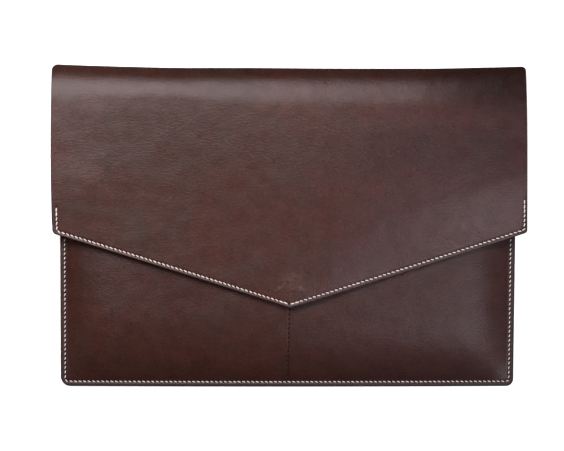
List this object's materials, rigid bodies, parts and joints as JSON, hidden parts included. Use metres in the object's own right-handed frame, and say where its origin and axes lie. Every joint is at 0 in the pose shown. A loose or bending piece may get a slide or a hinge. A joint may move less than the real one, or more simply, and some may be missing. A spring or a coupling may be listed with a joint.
{
  "type": "leather laptop bag",
  "caption": "Flat leather laptop bag: a hide folded over the top into a pointed envelope flap, with a sewn front panel forming an open-topped pocket and contrasting saddle stitching.",
  "frame": {"origin": "middle of the bag's outline, on the plane that its back lies on", "axes": "+X to the right along the fold, +Y up the bag to the fold, +Z out of the front, away from the surface it lies on"},
  "size_m": [0.3816, 0.2582, 0.0248],
  "materials": {
    "back_and_flap_leather": "smooth waxed vegetable-tanned leather, dark red-brown, soft sheen",
    "front_panel_leather": "smooth waxed vegetable-tanned leather, dark red-brown, soft sheen",
    "cream_thread": "waxed cream linen thread",
    "brown_thread": "waxed dark brown linen thread"
  },
  "bodies": {
    "root": {"back_and_flap": "back_and_flap_leather", "front_panel": "front_panel_leather"}
  },
  "joints": []
}
